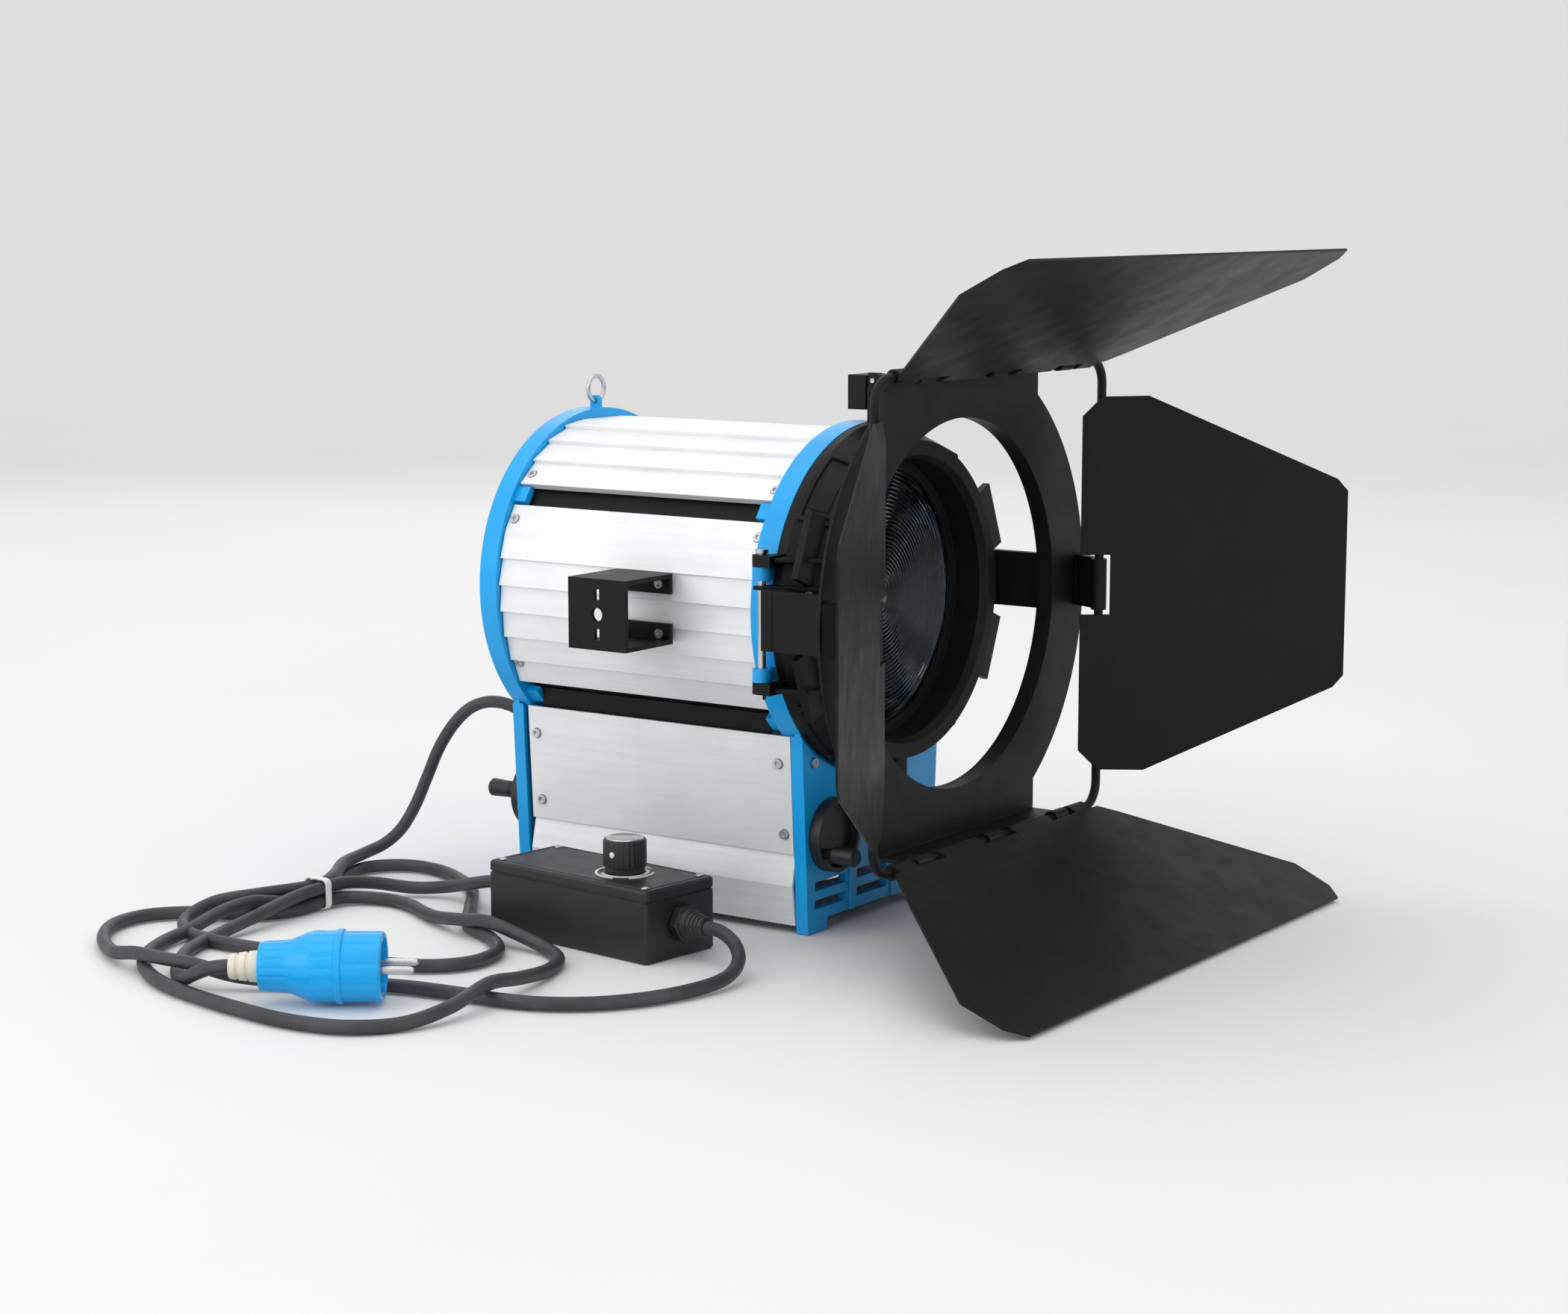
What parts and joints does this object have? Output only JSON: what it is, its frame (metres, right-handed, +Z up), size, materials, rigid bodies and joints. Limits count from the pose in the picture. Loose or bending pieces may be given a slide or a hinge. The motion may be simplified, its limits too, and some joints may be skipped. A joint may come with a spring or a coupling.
{
  "type": "fresnel spotlight",
  "caption": "Fresnel studio spotlight with a hinged lens door, turning barn doors, focus crank, yoke brackets, inline dimmer and a tied mains cord with its plug.",
  "frame": {"origin": "centre of the base's underside, on the surface the lamp stands on", "axes": "+Z up, -Y forward along the beam, +X to the lamp's left as it faces forward; the dimmer and its cord are on the -X side"},
  "size_m": [0.6648, 0.6204, 0.4321],
  "materials": {
    "blue_paint": "semi-gloss paint",
    "silver_panel": "brushed sheet",
    "black_metal": "matt black paint",
    "steel": "brushed",
    "bright_metal": "polished",
    "ceramic": "unglazed ceramic",
    "cream_plastic": "satin",
    "glass": "clear",
    "black_plastic": "satin moulding",
    "white_plastic": "satin",
    "blue_plastic": "gloss moulding",
    "cord_rubber": "matt rubber sheath"
  },
  "bodies": {
    "housing": {"front_frame": "blue_paint", "rear_frame": "blue_paint", "rear_cover": "black_metal", "inner_liner": "black_metal", "top_panel": "silver_panel", "side_panel_left": "silver_panel", "side_panel_right": "silver_panel", "base_panel_left": "silver_panel", "base_panel_right": "silver_panel", "base_skirt_left": "silver_panel", "base_skirt_right": "silver_panel", "vent_screen_left": "black_metal", "vent_screen_right": "black_metal", "base_plate": "steel", "panel_screws": "steel", "yoke_bracket_left": "black_metal", "yoke_bracket_right": "black_metal", "bracket_screws": "steel", "cable_gland": "black_plastic", "guide_rods": "steel", "hinge_pin": "steel", "latch_pin": "steel", "lamp_cord": "cord_rubber", "dimmer_cord": "cord_rubber", "cord_coil": "cord_rubber", "plug_cord": "cord_rubber", "mains_cord": "cord_rubber", "cord_tie": "white_plastic", "dimmer_box": "black_plastic", "dimmer_lid": "black_plastic", "dimmer_dial": "white_plastic", "dimmer_gland": "black_plastic", "supply_gland": "black_plastic", "plug_body": "blue_plastic", "plug_bush": "cream_plastic", "plug_pins": "steel"},
    "carriage": {"lamp_carriage": "steel", "reflector": "bright_metal", "lamp_holder": "ceramic", "halogen_lamp": "glass"},
    "spindle": {"focus_spindle": "steel", "front_crank": "black_plastic", "rear_crank": "black_plastic"},
    "front_grip": {"front_grip": "black_plastic"},
    "rear_grip": {"rear_grip": "black_plastic"},
    "lens_door": {"lens_door": "black_metal", "fresnel_lens": "glass", "lens_retainer": "steel", "top_latch_pin": "steel"},
    "door_latch": {"door_latch": "black_plastic"},
    "top_latch": {"top_latch": "black_metal"},
    "safety_ring": {"safety_ring": "steel"},
    "dimmer_knob": {"dimmer_knob": "black_plastic"},
    "barndoor": {"barndoor_ring": "black_metal", "barndoor_plate": "black_metal", "rod_frame": "black_metal"},
    "top_leaf": {"top_leaf": "black_metal"},
    "bottom_leaf": {"bottom_leaf": "black_metal"},
    "left_leaf": {"left_leaf": "black_metal"},
    "right_leaf": {"right_leaf": "black_metal"}
  },
  "joints": [
    {"name": "lens_door_hinge", "type": "hinge", "parent": "housing", "child": "lens_door", "pos_m": [-0.118, -0.1132, 0.205], "axis": [0, 0, 1], "range_deg": [-66, 0]},
    {"name": "door_latch_turn", "type": "hinge", "parent": "housing", "child": "door_latch", "pos_m": [0.119, -0.108, 0.21], "axis": [0, 0, 1], "range_deg": [0, 60]},
    {"name": "barndoor_turn", "type": "hinge", "parent": "lens_door", "child": "barndoor", "pos_m": [0, -0.175, 0.21], "axis": [0, -1, 0], "continuous": true},
    {"name": "top_latch_lift", "type": "hinge", "parent": "lens_door", "child": "top_latch", "pos_m": [0, -0.128, 0.35], "axis": [-1, 0, 0], "range_deg": [0, 12], "stiffness_Nm_per_rad": 0.3, "springref_deg": -8.59},
    {"name": "top_leaf_fold", "type": "hinge", "parent": "barndoor", "child": "top_leaf", "pos_m": [0, -0.208, 0.3595], "axis": [-1, 0, 0], "range_deg": [-58, 61.6]},
    {"name": "bottom_leaf_fold", "type": "hinge", "parent": "barndoor", "child": "bottom_leaf", "pos_m": [0, -0.208, 0.0605], "axis": [1, 0, 0], "range_deg": [-52, 67]},
    {"name": "left_leaf_fold", "type": "hinge", "parent": "barndoor", "child": "left_leaf", "pos_m": [-0.1375, -0.208, 0.21], "axis": [0, 0, -1], "range_deg": [-151, 34]},
    {"name": "right_leaf_fold", "type": "hinge", "parent": "barndoor", "child": "right_leaf", "pos_m": [0.1375, -0.208, 0.21], "axis": [0, 0, 1], "range_deg": [-115, 62]},
    {"name": "focus_spindle_turn", "type": "hinge", "parent": "housing", "child": "spindle", "pos_m": [-0.05, 0, 0.062], "axis": [0, -1, 0], "range_deg": [-630, 630]},
    {"name": "carriage_slide", "type": "slide", "parent": "housing", "child": "carriage", "axis": [0, -1, 0], "range_m": [-0.0349, 0.0349]},
    {"name": "front_grip_spin", "type": "hinge", "parent": "spindle", "child": "front_grip", "pos_m": [-0.06393, -0.13, 0.05225], "axis": [0, -1, 0], "continuous": true},
    {"name": "rear_grip_spin", "type": "hinge", "parent": "spindle", "child": "rear_grip", "pos_m": [-0.06663, 0.13, 0.06553], "axis": [0, 1, 0], "continuous": true},
    {"name": "safety_ring_swing", "type": "hinge", "parent": "housing", "child": "safety_ring", "pos_m": [0, 0.108, 0.3275], "axis": [1, 0, 0], "range_deg": [-80, 80]},
    {"name": "dimmer_knob_turn", "type": "hinge", "parent": "housing", "child": "dimmer_knob", "pos_m": [-0.1576, -0.03585, 0.05], "axis": [0, 0, 1], "range_deg": [-140, 140]}
  ],
  "couplings": [
    {"joint": "focus_spindle_turn", "follows": "carriage_slide", "rad_per_m": 314.16}
  ]
}
